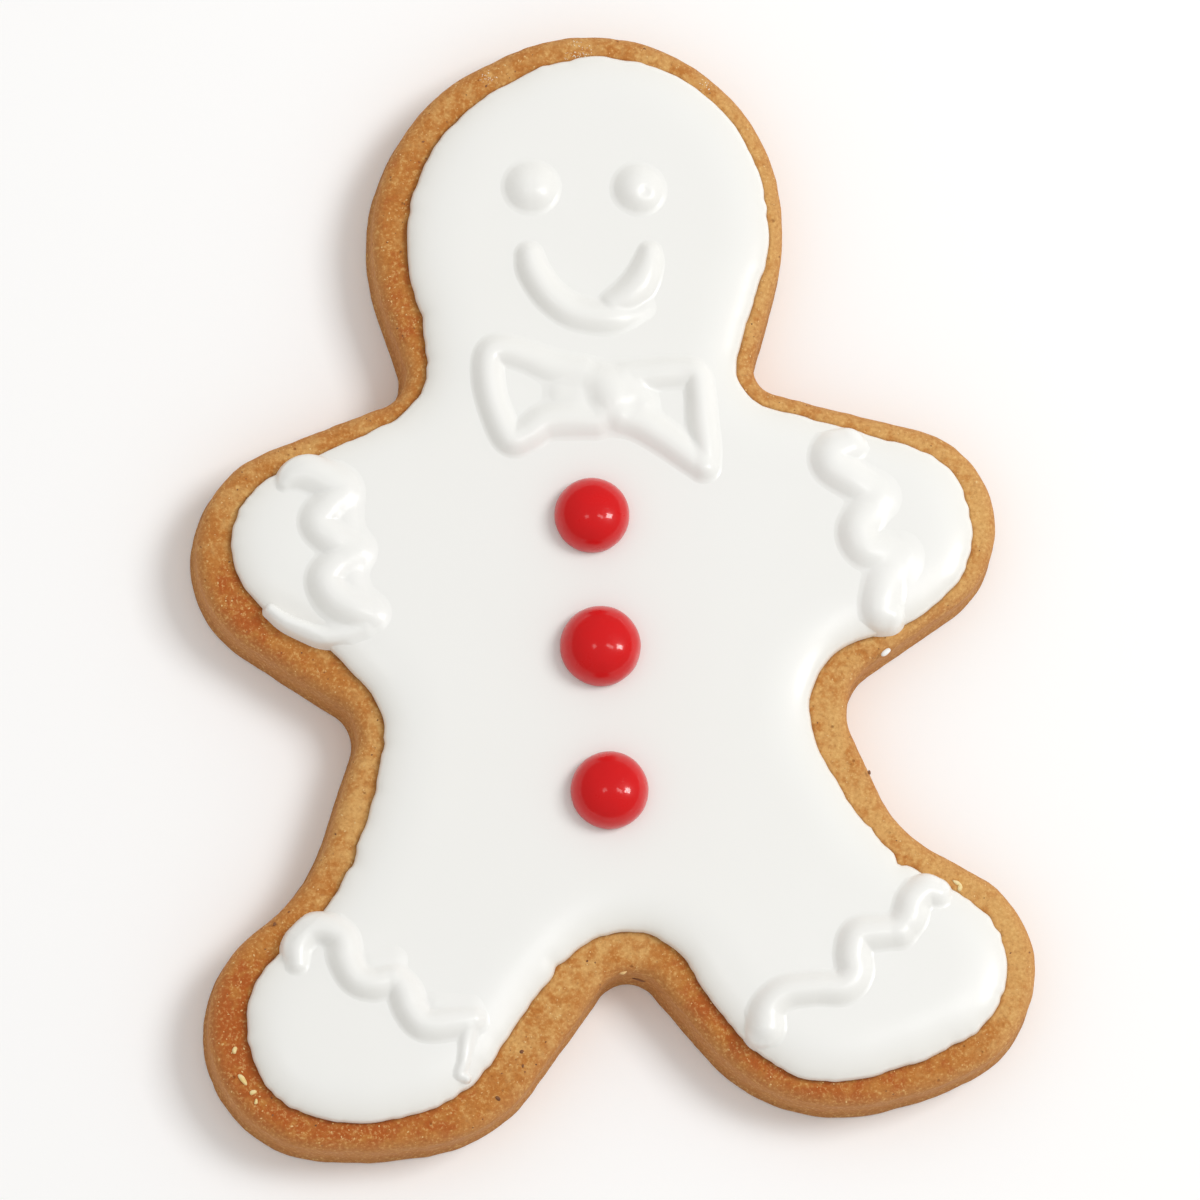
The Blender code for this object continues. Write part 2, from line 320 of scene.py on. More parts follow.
gingerbread = {
    "golden": (0.660, 0.360, 0.118),
    "brown": (0.505, 0.192, 0.040),
    "red": (0.430, 0.105, 0.018),
    "brownAt": 0.62,                       # how far bake and painted side shade go where it is all brown
    "redAt": 1.15,
    "wall": (0.535, 0.240, 0.078),
    "underside": (0.400, 0.180, 0.060),
    "soakAndContactShade": (0.160, 0.055, 0.015),         # painted contact shade along the icing's edge, partly where the icing has soaked in
    "sandLight": (0.840, 0.560, 0.215),
    "sandLightShare": 0.48,
    "sandDark": (0.270, 0.085, 0.018),
    "sandDarkShare": 0.30,
    # how dark the painted shade in the pin holes is
    "holeShadeShare": 0.5,
    "sandSize": 0.31,                      # mm, as are the next two
    "mottleSize": 3.2,
    "patchSize": 1.056,
    "mottle": 0.20,                        # how much more or less baked single spots are
    "bump": 0.17,                          # mm
    "roughness": (0.72, 0.90),
    "specular": 0.2,
}


def makeGingerbreadMaterial(look):
    material, tree, shader, place = newMaterial("gingerbread", look["golden"])
    grain = addNode(tree, "ShaderNodeGroup", {"Vector": place}, node_tree=grainGroup)
    sand = noiseNode(tree, place, perMetre(look["sandSize"]), 3.0, 0.65)
    # the bake level holds real baking and painted side shade: darker left and bottom, paler right
    bakeAndSideShade = attributeNode(tree, "bakeAndSideShadeLevel")
    for size, detail in ((look["mottleSize"], 3.0), (look["patchSize"], 2.0)):
        patches = noiseNode(tree, place, perMetre(size), detail, 0.6)
        bakeAndSideShade = mathNode(tree, "ADD", bakeAndSideShade, remap(tree, patches, 0.3, 0.7, -look["mottle"], look["mottle"]))
    colour = mixColour(tree, remap(tree, bakeAndSideShade, 0.0, look["brownAt"]), look["golden"], look["brown"])
    colour = mixColour(tree, remap(tree, bakeAndSideShade, look["brownAt"], look["redAt"]), colour, look["red"])
    # painted shade in the pin holes, darkened with the dark sand colour
    holes = mathNode(tree, "MULTIPLY", grain.outputs["Holes"], look["holeShadeShare"])
    for share, layer in ((attributeNode(tree, "wall"), "wall"),
                         (attributeNode(tree, "underside"), "underside"),
                         (remap(tree, sand, 0.50, 0.72, 0.0, look["sandLightShare"]), "sandLight"),
                         (remap(tree, sand, 0.50, 0.30, 0.0, look["sandDarkShare"]), "sandDark"),
                         (holes, "sandDark"),
                         # painted contact shade, partly a soaked-in stain, along the icing's edge
                         (attributeNode(tree, "soakAndContactShade"), "soakAndContactShade")):
        colour = mixColour(tree, share, colour, look[layer])
    setInputs(tree, shader, {
        "Base Color": colour, "Specular IOR Level": look["specular"],
        "Roughness": remap(tree, grain.outputs["Lumps"], 0.3, 0.7, *look["roughness"]),
        "Normal": bumpNode(tree, grain.outputs["Height"], look["bump"])})
    return material


royalIcing = {
    "colour": (0.908, 0.910, 0.890),
    "tint": (0.896, 0.894, 0.862),
    "thinEdge": (0.80, 0.70, 0.55),
    "cloudSize": 22.0,
    "roughness": 0.28,
    "roughnessSwing": 0.12,
    "bump": 0.03,
    "coat": 0.08,
    "coatRoughness": 0.18,
}


def makeIcingMaterial(look):
    material, tree, shader, place = newMaterial("royalIcing", look["colour"])
    ripple = addNode(tree, "ShaderNodeGroup", {"Vector": place}, node_tree=rippleGroup)
    clouds = noiseNode(tree, place, perMetre(look["cloudSize"]))
    colour = mixColour(tree, clouds, look["colour"], look["tint"])
    colour = mixColour(tree, attributeNode(tree, "thin"), colour, look["thinEdge"])
    swing = mathNode(tree, "MULTIPLY", ripple.outputs["Ripple"], look["roughnessSwing"])
    setInputs(tree, shader, {
        "Base Color": colour, "Roughness": mathNode(tree, "ADD", swing, look["roughness"]),
        "Coat Weight": look["coat"], "Coat Roughness": look["coatRoughness"],
        "Normal": bumpNode(tree, ripple.outputs["Height"], look["bump"])})
    return material


sugarShell = {
    "colour": (0.700, 0.012, 0.013),
    "deep": (0.640, 0.009, 0.011),
    "roughness": (0.27, 0.39),
    "specular": 0.12,
    "coat": 0.6,
    "coatRoughness": 0.09,
    "coatIor": 1.45,
    "rippleSize": 1.6,
    "fineSize": 0.22,
    "fineShare": 0.3,
    "bump": 0.02,
}


def makeShellMaterial(look):
    material, tree, shader, place = newMaterial("redSugarShell", look["colour"])
    ripple = addNode(tree, "ShaderNodeGroup", {
        "Vector": place, "Ripple Scale": perMetre(look["rippleSize"]),
        "Fine Scale": perMetre(look["fineSize"]), "Fine Share": look["fineShare"]}, node_tree=rippleGroup)
    setInputs(tree, shader, {
        "Base Color": mixColour(tree, ripple.outputs["Ripple"], look["colour"], look["deep"]),
        "Roughness": remap(tree, ripple.outputs["Height"], 0.4, 0.8, *look["roughness"]),
        "Specular IOR Level": look["specular"], "Coat Weight": look["coat"],
        "Coat Roughness": look["coatRoughness"], "Coat IOR": look["coatIor"],
        "Normal": bumpNode(tree, ripple.outputs["Height"], look["bump"])})
    return material


crumbLooks = {
    "paleCrumb": {"colour": (0.78, 0.54, 0.24), "other": (0.72, 0.43, 0.16), "roughness": (0.72, 0.88)},
    "spiceFleck": {"colour": (0.165, 0.060, 0.022), "other": (0.27, 0.11, 0.04), "roughness": (0.72, 0.88)},
    "yellowFlake": {"colour": (0.82, 0.62, 0.24), "other": (0.90, 0.76, 0.42), "roughness": (0.52, 0.68)},
    "flourDust": {"colour": (0.86, 0.80, 0.68), "other": (0.80, 0.68, 0.48), "roughness": (0.82, 0.98)},
}
crumbBump = 0.05


def makeCrumbMaterial(name, look):
    material, tree, shader, place = newMaterial(name, look["colour"])
    grain = addNode(tree, "ShaderNodeGroup", {"Vector": place}, node_tree=grainGroup)
    share = remap(tree, grain.outputs["Lumps"], 0.35, 0.65)
    setInputs(tree, shader, {
        "Base Color": mixColour(tree, share, look["colour"], look["other"]),
        "Roughness": remap(tree, grain.outputs["Grain"], 0.3, 0.7, *look["roughness"]),
        "Normal": bumpNode(tree, grain.outputs["Height"], crumbBump)})
    return material


materials = {"gingerbread": makeGingerbreadMaterial(gingerbread), "royalIcing": makeIcingMaterial(royalIcing),
             "redSugarShell": makeShellMaterial(sugarShell)}
for crumbName, crumbLook in crumbLooks.items():
    materials[crumbName] = makeCrumbMaterial(crumbName, crumbLook)
print("materials ready:", ", ".join(materials))


# The band drawn round these discs, anticlockwise: a bulge of 1 is a rounded end and -1 a hollow
# corner. The last two numbers are the bare rim's width on the disc and on the straight after it.
cutter = {
    "cheekRight": (3.25, 33.5, 16.0, 1, 1.4, None),
    "crown": (1.25, 35.0, 18.0, 1, 2.0, None),
    "cheekLeft": (-0.75, 33.0, 19.0, 1, 3.4, 3.0),
    "neckLeft": (-20.75, 21.0, 3.5, -1, 1.6, 2.2),
    "handLeft": (-27.25, 4.0, 10.5, 1, 3.2, 4.2),
    "waistLeft": (-27.25, -13.5, 3.75, -1, 2.2, 3.2),
    "kneeLeft": (-42.75, -17.0, 17.0, -1, 3.0, None),
    "heelLeft": (-27.25, -41.0, 11.5, 1, 3.6, None),
    "soleLeft": (-24.25, -30.5, 22.25, 1, 2.4, None),
    "toeLeft": (-20.25, -38.0, 14.5, 1, 3.8, 4.6),
    "crotch": (0.75, -40.5, 3.5, -1, 3.8, 2.6),
    "toeRight": (20.75, -34.5, 16.0, 1, 2.0, None),
    "soleRight": (22.75, -30.5, 19.5, 1, 2.8, None),
    "heelRight": (28.25, -38.0, 10.5, 1, 2.8, None),
    "kneeRight": (36.25, -16.5, 12.0, -1, 2.6, 3.4),
    "waistRight": (28.25, -13.5, 5.75, -1, 3.8, 0.8),
    "handRight": (28.25, 4.5, 9.5, 1, 2.6, 1.8),
    "neckRight": (18.25, 20.0, 2.5, -1, 1.8, 1.8),
}
outlineSpacing = 0.33
rimBlur = 2.5


def cutterOutline():
    # points, outward normals and rim widths, evenly spaced along the band
    discs = list(cutter.values())
    angles = []
    for disc, after in zip(discs, discs[1:] + discs[:1]):
        dx, dy = after[0] - disc[0], after[1] - disc[1]
        reach = (disc[3] * disc[2] - after[3] * after[2]) / math.hypot(dx, dy)
        angles.append(math.atan2(dy, dx) - math.pi / 2 + math.asin(reach))
    points, normals, marks, widths = [], [], [], []
    length = 0.0
    for index, (x, y, radius, bulge, rim, rimAfter) in enumerate(discs):
        turn = (angles[index] - angles[index - 1] + math.pi) % (2 * math.pi) - math.pi
        arc = abs(turn) * radius
        steps = max(2, round(arc / outlineSpacing))
        for step in range(steps + 1):
            angle = angles[index - 1] + turn * step / steps
            normal = np.array((math.cos(angle), math.sin(angle)))
            points.append(np.array((x, y)) + bulge * radius * normal)
            normals.append(normal)
        marks.append(length + arc / 2)
        widths.append(rim)
        length += arc
        after = discs[(index + 1) % len(discs)]
        target = np.array(after[:2]) + after[3] * after[2] * normal
        origin = points[-1]
        straight = np.linalg.norm(target - origin)
        steps = max(1, round(straight / outlineSpacing))
        for step in range(1, steps):
            points.append(origin + (target - origin) * step / steps)
            normals.append(normal)
        if rimAfter is not None:
            marks.append(length + straight / 2)
            widths.append(rimAfter)
        length += straight
    points, normals = np.array(points), np.array(normals)
    gaps = np.linalg.norm(np.roll(points, -1, axis=0) - points, axis=1)
    lengths = np.concatenate(([0], np.cumsum(gaps)))[:-1]
    total = gaps.sum()
    marks = np.array(marks) * total / length
    shifts = np.linspace(-rimBlur, rimBlur, 7)
    rims = np.mean([np.interp(lengths + shift, marks, widths, period=total) for shift in shifts], axis=0)
    # even spacing, so that no two points coincide where an arc meets a straight
    even = np.arange(round(total / outlineSpacing)) * total / round(total / outlineSpacing)
    columns = [np.interp(even, lengths, column, period=total)
               for column in (points[:, 0], points[:, 1], normals[:, 0], normals[:, 1], rims)]
    points, normals = np.stack(columns[:2], axis=1), np.stack(columns[2:4], axis=1)
    normals /= np.linalg.norm(normals, axis=1)[:, None]
    return points, normals, columns[4]


outline, outward, rimWidth = cutterOutline()
outlineCount = len(outline)
print("outline:", outlineCount, "points")


icing = {
    "shoulder": 5.6,          # level from this far inside its edge
    "shoulderLayers": ((0.9, 16.0, 3),),
    "power": 2.25,
    "foot": 0.35,             # steep part at the very edge
    "levelLayers": ((0.05, 9.0, 4),),
    "ragged": 0.24,
    "raggedLayers": ((0.5, 2.4, 1), (0.5, 0.85, 2)),
    "raggedLevel": 0.75,      # some stretches are more ragged than others
    "raggedSwing": ((0.6, 9.0, 13),),
    "raggedReach": 1.6,
    "thinShare": 0.15,
    "thinReach": 3.0,
    "edgeInsets": (0.30, 0.10, -0.02, -0.04, 0.0, 0.06, 0.15, 0.28, 0.45, 0.7, 1.0, 1.4, 1.85),
    "edgeHeights": (-0.30, -0.10, 0.05, 0.16, 0.30),         # over the biscuit, on the first insets
    "edgeThin": (0.7, 0.7, 0.5, 0.3, 0.2),
    "spacing": 0.55,
    "baseSpacing": 3.0,
    # x, y, over what reach the edge steps back there, and how far
    "dents": [(-6.2, -36.3, 0.6, 0.55), (26.9, -27.5, 0.6, 0.7), (13.4, -41.5, 0.7, 0.4),
              (-29.8, -2.4, 2.2, -0.75), (-27.0, -5.8, 0.5, -0.6),
              (-33.0, -45.0, 0.6, 0.3), (-29.6, -47.4, 0.6, -0.25), (-24.6, -48.8, 0.6, 0.3),
              (-19.4, -48.0, 0.5, -0.2), (-13.6, -45.6, 0.5, 0.25), (19.0, -18.6, 0.6, 0.35),
              (21.6, -22.0, 0.5, 0.3), (24.0, -24.6, 0.5, -0.2)],
}
icingRise = icingTop - biscuitTop
smoothEdge = outline - outward * rimWidth[:, None]


def icingEdge():
    share = icing["raggedLevel"] + layered(smoothEdge, icing["raggedSwing"])
    shift = layered(smoothEdge, icing["raggedLayers"]) * icing["ragged"] * share
    shift += spots(smoothEdge, icing["dents"])
    return smoothEdge - outward * shift[:, None]


edge = icingEdge()


def loopDistance(points, loop):
    # distance inside a closed line, negative outside it
    index, distance = nearest(points, loop)
    side = ((points - loop[index]) * outward[index]).sum(axis=1)
    return np.where(side > 0, -distance, distance)


def edgeDistance(points):
    # the ragged edge is only felt close to it, further in the distance is that to the smooth one
    ragged, even = loopDistance(points, edge), loopDistance(points, smoothEdge)
    share = np.clip(ragged / icing["raggedReach"], 0, 1)
    return ragged + (even - ragged) * share


def riseAt(points, distance):
    # height of the poured icing over the biscuit at that distance inside its edge
    shoulder = icing["shoulder"] + layered(points, icing["shoulderLayers"])
    part = np.clip(distance / shoulder, 0, 1)
    curve = (1 - (1 - part) ** icing["power"]) ** (1 / icing["power"])
    level = icingRise + layered(points, icing["levelLayers"]) * part
    rise = icing["foot"] + (level - icing["foot"]) * curve
    return np.where(distance > 0, rise, 0.0)


biscuit = {
    "flare": 0.35,            # the dough slumps this far out at the tray
    "flareHeight": 1.5,
    "footRound": 0.3,
    "edgeRound": 1.35,
    "wallRelief": 0.05,
    "topRelief": 0.06,        # height of the crumb's unevenness
    "wobbleLayers": ((0.07, 11.0, 5), (0.015, 3.0, 6)),
    "crumbLayers": ((0.7, 1.6, 7), (0.6, 0.8, 8), (0.8, 5.0, 9)),
    "underInset": 4.0,        # the profile starts this far in on the underside
    "topInset": 6.8,          # and ends this far in under the icing
    "topSpacing": 2.0,
    "baseSpacing": 1.4,
    # x, y, reach in mm, and how much more it is baked there; the spots also paint side shade, darker on the
    # left and bottom and paler on the right, where the light falls
    "bakeAndSideShade": [(-37, -42, 13, 0.78), (-37, -2, 8, 0.58), (-22, -53, 11, 0.58), (9, -41, 7, 0.55),
              (20, -50, 12, 0.65), (-17, 38, 10, 0.34), (-19, 24, 6, 0.50), (-32, -10, 7, 0.50),
              (20, 36, 14, -0.30), (30, -14, 9, -0.30), (40, -36, 9, -0.30), (36, -24, 8, -0.30),
              (-24, -22, 6, -0.20), (38, 8, 9, -0.30), (22, 20, 8, -0.10), (1, 53, 8, 0.10)],
    "bakedLevel": 0.30,
    "wallShare": 0.8,         # how far the wall's colour covers the baked one
    "browned": 1.8,           # the wall is darker up to this height
    # darkness and reach of the painted contact shade and soaked-in stain along the icing's edge
    "soakAndContactShade": 0.6,
    "soakAndContactShadeReach": 0.15,
    "crumbsFrom": 0.3,        # loose crumbs lie this far from the icing
    # x, y, reach and amount of flour
    "flour": [(0.2, 50.7, 0.75, 1.0), (1.4, 50.9, 0.6, 1.0), (-7.9, 49.1, 0.6, 1.0), (12.6, 47.5, 0.45, 1.0),
              (0.5, 52.2, 0.35, 1.0)],
}
farOff = 9.0                  # stands for any distance that no longer matters


def biscuitProfile():
    # (distance out from the outline, height), from under the biscuit round its edge to its top
    foot, bend, flare = biscuit["footRound"], biscuit["edgeRound"], biscuit["flare"]
    path = [(out, 0.0) for out in np.linspace(-biscuit["underInset"], flare - foot, 9)]
    for turn in np.radians(np.linspace(-90, 0, 5)[1:]):
        path.append((flare - foot + foot * math.cos(turn), foot + foot * math.sin(turn)))
    for height in np.linspace(foot, biscuitTop - bend, 18)[1:]:
        slump = max(0.0, 1 - (height - foot) / biscuit["flareHeight"]) ** 2
        path.append((flare * slump, height))
    for turn in np.radians(np.linspace(0, 90, 10)[1:]):
        path.append((bend * math.cos(turn) - bend, biscuitTop - bend + bend * math.sin(turn)))
    path += [(out, biscuitTop) for out in np.linspace(-bend, -biscuit["topInset"], 19)[1:]]
    return np.array(path)


def makeBiscuit():
    path = biscuitProfile()
    along = np.gradient(path, axis=0)
    across = np.stack((along[:, 1], -along[:, 0]), axis=1)
    across /= np.linalg.norm(across, axis=1)[:, None]
    wobble = layered(outline, biscuit["wobbleLayers"])
    rings, walls, bottoms = [], [], []
    for (out, height), (pushOut, pushUp) in zip(path, across):
        flat = outline + outward * (out + wobble * min(1.0, height / 2 + 0.3))[:, None]
        point = np.column_stack((flat, np.full(outlineCount, height)))
        relief = biscuit["topRelief"] * max(0.0, pushUp) + biscuit["wallRelief"] * max(0.0, pushOut)
        bump = relief * layered(point, biscuit["crumbLayers"])
        point[:, :2] += outward * (bump * pushOut)[:, None]
        point[:, 2] += bump * pushUp * (height > 0.05)          # the underside stays flat
        rings.append(point)
        walls.append(np.full(outlineCount, np.clip(pushOut, 0, 1) ** 1.5 * (height > 0.2)))
        bottoms.append(np.full(outlineCount, max(0.0, 1 - height / biscuit["browned"]) ** 1.5))
    points, faces, (topCount, baseCount) = closedShell(
        rings, (biscuit["topSpacing"], lambda grid: np.full(len(grid), biscuitTop)),
        (biscuit["baseSpacing"], lambda grid: np.zeros(len(grid))))
    wall = np.concatenate(walls + [np.zeros(topCount + baseCount)])
    bottom = np.concatenate(bottoms + [np.zeros(topCount), np.ones(baseCount)])
    onTop = points[:, 2] > biscuitTop - 0.6
    gap = np.full(len(points), farOff)          # distance from the icing
    gap[onTop] = np.maximum(0, -edgeDistance(points[onTop, :2]))
    return newPiece("biscuit_baked", points, faces, materials["gingerbread"], {
        "wall": wall * biscuit["wallShare"], "underside": bottom,
        # bake level with painted side shade, darker to the left and bottom and paler to the right
        "bakeAndSideShadeLevel": biscuit["bakedLevel"] + spots(points, biscuit["bakeAndSideShade"]),
        # darker dough along the icing's edge: painted contact shade, partly a soaked-in stain
        "soakAndContactShade": biscuit["soakAndContactShade"] * bell(gap, biscuit["soakAndContactShadeReach"]),
        "crumbs": (gap > biscuit["crumbsFrom"]) & (gap < farOff),
        "flour": spots(points, biscuit["flour"]) * onTop})


biscuitPiece = makeBiscuit()
print("biscuit:", len(biscuitPiece.data.polygons), "faces")


def makeIcing():
    # the first rings are its edge, pressed a little into the biscuit
    rings = []
    for index, inset in enumerate(icing["edgeInsets"]):
        flat = edge - outward * inset
        if index < len(icing["edgeHeights"]):
            level = np.full(outlineCount, icing["edgeHeights"][index])
        else:
            level = riseAt(flat, edgeDistance(flat))
        rings.append(np.column_stack((flat, biscuitTop + level)))
    points, faces, _ = closedShell(
        rings, (icing["spacing"], lambda grid: biscuitTop + riseAt(grid, edgeDistance(grid))),
        (icing["baseSpacing"], lambda grid: np.full(len(grid), biscuitTop + icing["edgeHeights"][0])))
    # the biscuit shows through a little where the icing thins out
    inside = edgeDistance(points[:, :2])
    thin = icing["thinShare"] * np.clip(1 - inside / icing["thinReach"], 0, 1) ** 1.5
    for index, share in enumerate(icing["edgeThin"]):
        thin[index * outlineCount:(index + 1) * outlineCount] = share
    return newPiece("icing_poured", points, faces, materials["royalIcing"], {"thin": thin})


icingPiece = makeIcing()
print("icing:", len(icingPiece.data.polygons), "faces")


piping = {
    "cell": 0.12,
    "routeSpacing": 0.14,
    "power": 0.85,            # how full a bead's round is
    "skirt": 0.8,             # how steeply a bead falls away outside its width
    "melt": 0.35,             # how softly one stroke runs into the next
    "fillet": 0.75,           # how softly a bead runs into the icing
    "sunk": 0.03,
    "unevenLayers": ((0.04, 2.4, 11),),
    "bridge": 1.2,            # over the icing's edge a bead lies as high as this much further in
    "bridgeReach": 2.5,
    "edgeReach": 1.5,         # this close to the edge a bead has a steeper, tighter foot
    "edgeSteeper": 2.5,
    "edgeTighter": 0.65,
    "tuck": 0.14,             # the border runs this far inside the icing's surface
    "tuckReach": 1.2,
    "under": 0.25,            # and this far under the bare dough
    "depth": 0.5,
    "margin": 1.8,
}
farBelow = -4.0
# Each stroke is a list of (x, y, width, height) that the nozzle passed through. A later stroke
# lies on the earlier ones, with a crease between them.
pipedPieces = {
    "eye_left": {"strokes": [[(-4.8, 37.8, 4.6, 1.3), (-4.5, 37.8, 4.6, 1.3)]]},
    "eye_right": {"strokes": [[(5.4, 37.3, 4.4, 1.3), (5.6, 37.2, 4.4, 1.25)]],
                  "dimples": [(6.0, 36.8, 0.6, 0.25)]},          # x, y, reach, depth
    "mouth": {"strokes": [
        [(-5.2, 31.2, 2.3, 0.85), (-4.9, 29.7, 2.8, 1.1), (-3.6, 27.5, 2.9, 1.1), (-1.8, 25.9, 3.0, 1.0),
         (0.2, 25.2, 3.0, 0.95), (2.2, 25.0, 2.8, 0.85), (3.7, 25.3, 2.2, 0.5), (5.2, 25.8, 1.4, 0.2)],
        [(2.6, 26.2, 2.6, 0.85), (4.0, 27.0, 3.1, 1.1), (5.2, 28.3, 3.1, 1.2), (6.0, 30.0, 2.6, 1.1),
         (6.2, 31.0, 2.0, 0.85)]]},
    "bow_tie": {"melt": 0.7, "strokes": [
        [(-0.8, 19.6, 3.0, 0.75), (-3.4, 20.3, 2.9, 0.7), (-5.8, 21.4, 2.6, 0.75), (-8.2, 22.2, 2.7, 0.9),
         (-9.5, 21.6, 2.7, 1.05), (-9.7, 19.2, 2.7, 1.05), (-9.2, 16.4, 2.7, 1.05), (-8.0, 13.7, 2.9, 1.1),
         (-6.5, 13.9, 2.9, 1.0), (-4.6, 15.1, 3.1, 0.95), (-2.2, 15.3, 3.3, 0.95), (0.2, 15.2, 3.2, 0.9)],
        [(3.4, 19.1, 3.0, 0.8), (5.6, 19.3, 2.7, 0.75), (8.2, 19.4, 2.6, 0.75), (9.9, 19.1, 2.5, 0.9),
         (10.2, 17.0, 2.6, 1.05), (10.2, 14.5, 2.7, 1.05), (10.4, 12.0, 2.6, 1.0), (10.3, 10.3, 2.4, 0.85)],
        [(10.0, 10.2, 2.4, 0.85), (8.6, 11.5, 2.8, 0.95), (6.7, 13.1, 3.0, 0.95), (4.6, 14.6, 3.2, 1.0),
         (2.8, 15.3, 3.2, 1.0)],
        [(-2.6, 17.8, 2.8, 0.45), (-1.2, 17.5, 4.2, 0.6)],
        [(1.0, 18.6, 4.0, 1.1), (1.8, 17.7, 5.2, 1.4), (1.9, 16.3, 4.6, 1.2)],
        [(3.8, 17.3, 3.4, 0.9), (4.5, 16.4, 3.0, 0.8)]]},
    "cuff_left_arm": {"melt": 0.5, "strokes": [
        [(-31.2, -1.6, 0.8, 0.25), (-29.9, -2.7, 1.1, 0.35), (-28.3, -3.6, 1.3, 0.4), (-26.6, -4.3, 1.4, 0.4),
         (-24.7, -4.3, 1.4, 0.35), (-22.6, -3.9, 1.2, 0.25)],
        [(-29.3, 10.3, 1.2, 0.5), (-28.5, 11.0, 2.4, 0.9), (-27.2, 11.3, 3.5, 1.15), (-25.6, 10.6, 3.6, 1.1),
         (-24.0, 9.5, 3.3, 0.8), (-25.4, 7.8, 3.4, 1.05), (-26.3, 6.3, 3.5, 1.15), (-25.0, 4.8, 3.5, 1.1),
         (-23.3, 3.7, 3.3, 0.65)],
        [(-23.1, 3.3, 3.0, 0.6), (-24.8, 2.4, 3.1, 0.95), (-25.9, 0.9, 3.5, 1.15), (-25.2, -0.7, 3.6, 1.15),
         (-23.6, -1.9, 3.5, 1.0), (-22.1, -2.4, 3.1, 0.6)],
        [(-24.2, 8.4, 3.0, 0.4), (-24.0, 6.4, 2.6, 0.4), (-23.8, 3.4, 2.8, 0.5), (-23.6, 0.6, 2.4, 0.4),
         (-22.9, -1.8, 2.4, 0.4)]]},
    "cuff_right_arm": {"melt": 0.5, "strokes": [
        [(23.9, 11.9, 3.3, 1.05), (22.5, 11.3, 3.8, 1.25), (22.4, 10.0, 3.9, 1.25), (24.2, 8.5, 3.5, 1.0),
         (26.0, 7.2, 3.2, 0.55)],
        [(26.3, 6.6, 3.0, 0.4), (25.2, 5.2, 3.3, 0.75), (24.3, 3.4, 3.7, 1.15), (24.9, 1.9, 3.6, 1.05),
         (26.7, 1.3, 3.2, 0.6), (28.0, 1.0, 2.8, 0.3)],
        [(27.6, 0.2, 2.8, 0.25), (26.7, -1.0, 3.2, 0.65), (26.2, -2.7, 3.5, 0.95), (26.0, -4.1, 3.4, 1.05),
         (26.8, -4.6, 2.7, 0.85)]]},
    "cuff_left_foot": {"strokes": [
        [(-30.4, -35.2, 1.8, 0.7), (-30.3, -33.4, 2.5, 1.0), (-29.1, -32.0, 2.9, 1.1),
         (-27.5, -32.0, 2.9, 1.15), (-26.2, -33.1, 3.0, 1.15), (-25.9, -35.0, 3.0, 1.1),
         (-25.0, -36.8, 3.0, 1.15), (-23.5, -37.4, 3.0, 1.1), (-21.8, -37.1, 2.8, 0.9)],
        [(-21.4, -37.0, 2.4, 0.85), (-20.6, -38.3, 3.0, 1.1), (-20.1, -40.0, 3.0, 1.15),
         (-18.9, -41.4, 3.0, 1.15), (-16.6, -41.4, 2.9, 1.0), (-14.4, -41.2, 2.4, 0.8)],
        [(-14.8, -41.9, 1.8, 0.7), (-15.1, -43.6, 1.2, 0.5), (-15.4, -45.1, 1.0, 0.45),
         (-15.8, -46.2, 0.8, 0.3), (-15.2, -46.6, 0.7, 0.25)],
        [(-23.4, -35.6, 1.2, 0.14), (-21.4, -35.3, 0.8, 0.06)],
        [(-17.6, -39.8, 1.2, 0.14), (-14.6, -40.1, 0.8, 0.06)]]},
    "cuff_right_foot": {"strokes": [
        [(29.7, -31.0, 2.6, 0.9), (28.6, -30.8, 3.0, 1.1), (27.4, -31.8, 3.1, 1.15), (26.8, -33.4, 3.1, 1.1),
         (25.8, -34.6, 2.9, 1.0)],
        [(25.9, -34.7, 2.8, 0.95), (23.8, -34.7, 3.1, 1.1), (22.0, -35.0, 3.2, 1.15),
         (21.4, -36.6, 3.2, 1.15), (21.4, -38.4, 3.1, 1.1), (20.2, -39.7, 3.0, 1.1), (17.6, -39.7, 2.8, 1.1),
         (14.8, -40.0, 2.9, 1.1), (13.1, -41.4, 3.1, 1.15), (12.8, -43.2, 3.4, 1.3)]]},
}


def beadRise(points, strokes, melt):
    # height of the tallest bead at each point, measured from the surface it lies on
    best = np.full(len(points), farBelow)
    for stroke in strokes:
        samples = smoothRoute(stroke, piping["routeSpacing"])
        own = np.full(len(points), farBelow)
        for start in range(0, len(samples), 60):
            part = samples[start:start + 60]
            squares = ((points[:, None] - part[None, :, :2]) ** 2).sum(axis=2)
            inside = 1 - squares / (part[:, 2] / 2) ** 2
            rise = part[:, 3] * np.where(inside > 0, np.maximum(inside, 0) ** piping["power"],
                                         piping["skirt"] * inside)
            own = np.maximum(own, rise.max(axis=1))
        best = smoothMax(best, own, melt)
    return best


def pipedSurface(points, details):
    # top of the piece and, under it, the surface that it lies on
    distance = edgeDistance(points)
    tucked = distance - piping["tuck"] * bell(distance, piping["tuckReach"])
    base = np.where(distance > piping["tuck"], riseAt(points, tucked), -piping["under"])
    reach = piping["bridge"] * np.clip((piping["bridgeReach"] - distance) / piping["bridgeReach"], 0, 1)
    bridge = riseAt(points, distance + reach)
    rise = beadRise(points, details["strokes"], details.get("melt", piping["melt"]))
    rise += layered(points, piping["unevenLayers"]) * (rise > -1)
    rise -= spots(points, details.get("dimples", []))
    near = np.clip(1 - distance / piping["edgeReach"], 0, 1)
    rise = np.where(rise < 0, rise * (1 + piping["edgeSteeper"] * near), rise)
    fillet = piping["fillet"] * (1 - piping["edgeTighter"] * near)
    return biscuitTop + smoothMax(bridge + rise, base - piping["sunk"], fillet), biscuitTop + base


